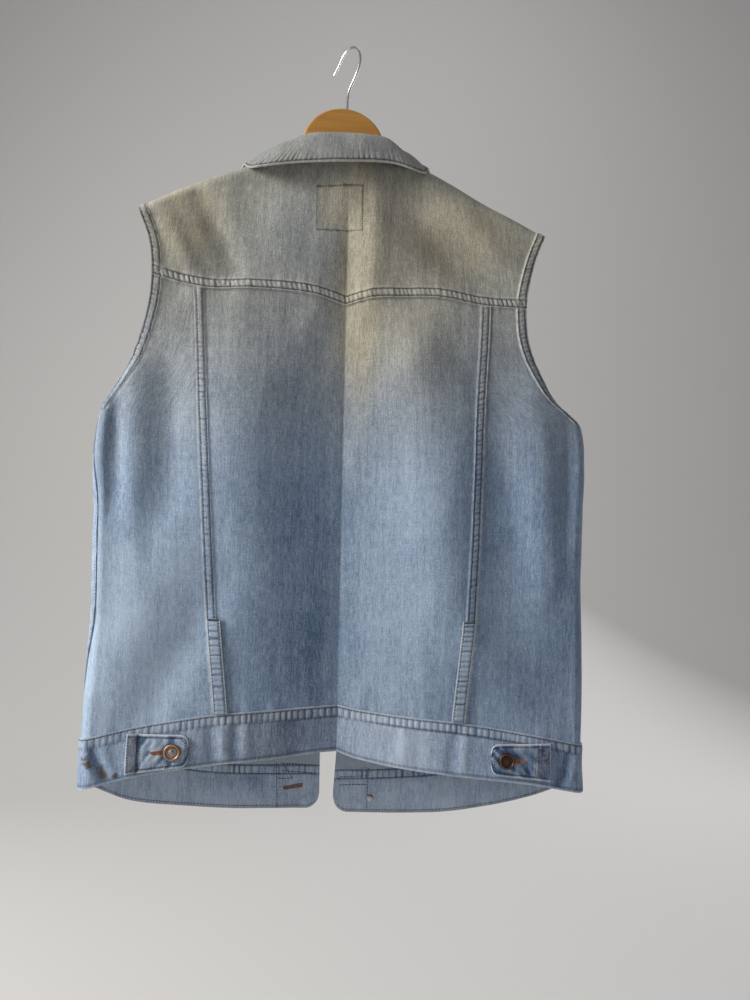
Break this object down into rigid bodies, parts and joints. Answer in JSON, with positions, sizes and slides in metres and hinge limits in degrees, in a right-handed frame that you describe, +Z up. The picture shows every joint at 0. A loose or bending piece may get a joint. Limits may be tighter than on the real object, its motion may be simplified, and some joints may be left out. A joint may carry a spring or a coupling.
{
  "type": "denim vest on hanger",
  "caption": "Sleeveless light-wash denim jacket, open at the front, hanging back-out on a wooden hanger with a wire hook.",
  "frame": {"origin": "inside of the hook's crown, where the rail that holds the hanger touches it", "axes": "+Z up; -Y towards the jacket's back, which faces the viewer; +X to the viewer's right, which is the wearer's right"},
  "size_m": [0.5387, 0.0693, 0.8675],
  "materials": {
    "denim": "light-wash blue denim twill, soft and matt",
    "band_denim": "light-wash blue denim, worn pale at the folded edges",
    "tab_denim": "mid-blue denim, worn white at the edges",
    "button_metal": "tarnished copper, dished, with a rolled rim",
    "rivet_metal": "plain bright cap",
    "hanger_wood": "varnished ochre board with a paler rim",
    "hook_steel": "bright wire"
  },
  "bodies": {
    "root": {"back_yoke": "denim", "back_centre_panel": "denim", "back_side_panel_left": "denim", "back_side_panel_right": "denim", "back_vent_left": "denim", "back_vent_right": "denim", "front_left": "denim", "front_right": "denim", "front_placket_left": "denim", "front_placket_right": "denim", "collar_stand": "denim", "collar_fall": "denim", "waistband_back": "band_denim", "waistband_front_left": "band_denim", "waistband_front_right": "band_denim", "waist_tab_left": "tab_denim", "waist_tab_right": "tab_denim", "waist_tab_button_left": "button_metal", "waist_tab_button_right": "button_metal", "front_button_1": "button_metal", "front_button_2": "button_metal", "front_button_3": "button_metal", "front_button_4": "button_metal", "front_button_5": "button_metal", "front_button_6": "button_metal", "front_button_7": "button_metal", "front_rivet_1": "rivet_metal", "front_rivet_2": "rivet_metal", "front_rivet_3": "rivet_metal", "front_rivet_4": "rivet_metal", "front_rivet_5": "rivet_metal", "front_rivet_6": "rivet_metal", "front_rivet_7": "rivet_metal", "hanger_board": "hanger_wood", "hanger_hook": "hook_steel"}
  },
  "joints": []
}
